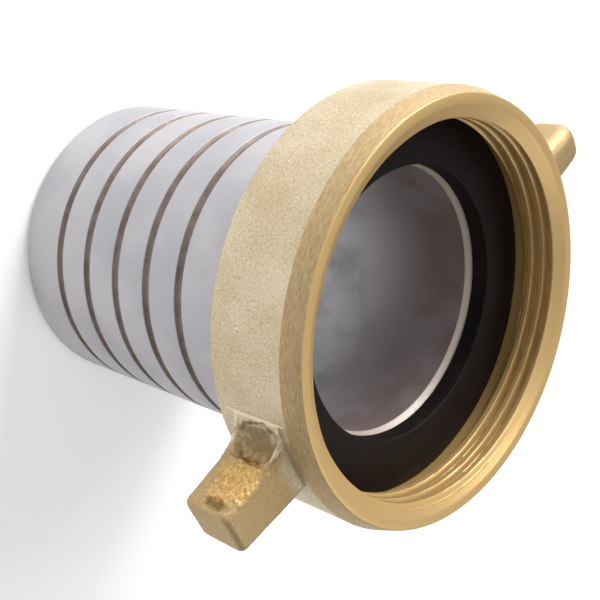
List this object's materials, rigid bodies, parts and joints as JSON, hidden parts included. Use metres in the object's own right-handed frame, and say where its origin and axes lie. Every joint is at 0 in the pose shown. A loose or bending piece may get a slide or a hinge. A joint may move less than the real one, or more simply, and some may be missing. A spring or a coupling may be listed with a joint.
{
  "type": "pin lug swivel hose coupling",
  "caption": "Swivel hose coupling: grooved hose shank with a free-turning threaded pin lug nut and a sealing washer.",
  "frame": {"origin": "centre of the shank's hose end face, on which the coupling stands", "axes": "+Z along the bore towards the threaded mouth of the nut, +X through one of the two lugs at rest"},
  "size_m": [0.092, 0.067, 0.0751],
  "materials": {
    "aluminium": "matte as cast and turned",
    "cast_brass": "sand cast outside, machined face and thread",
    "black_rubber": "moulded, matte"
  },
  "bodies": {
    "shank": {"shank": "aluminium"},
    "nut": {"swivel_nut": "cast_brass", "washer": "black_rubber"}
  },
  "joints": [
    {"name": "nut_swivel", "type": "hinge", "parent": "shank", "child": "nut", "pos_m": [0, 0, 0.0664], "axis": [0, 0, 1], "continuous": true}
  ]
}
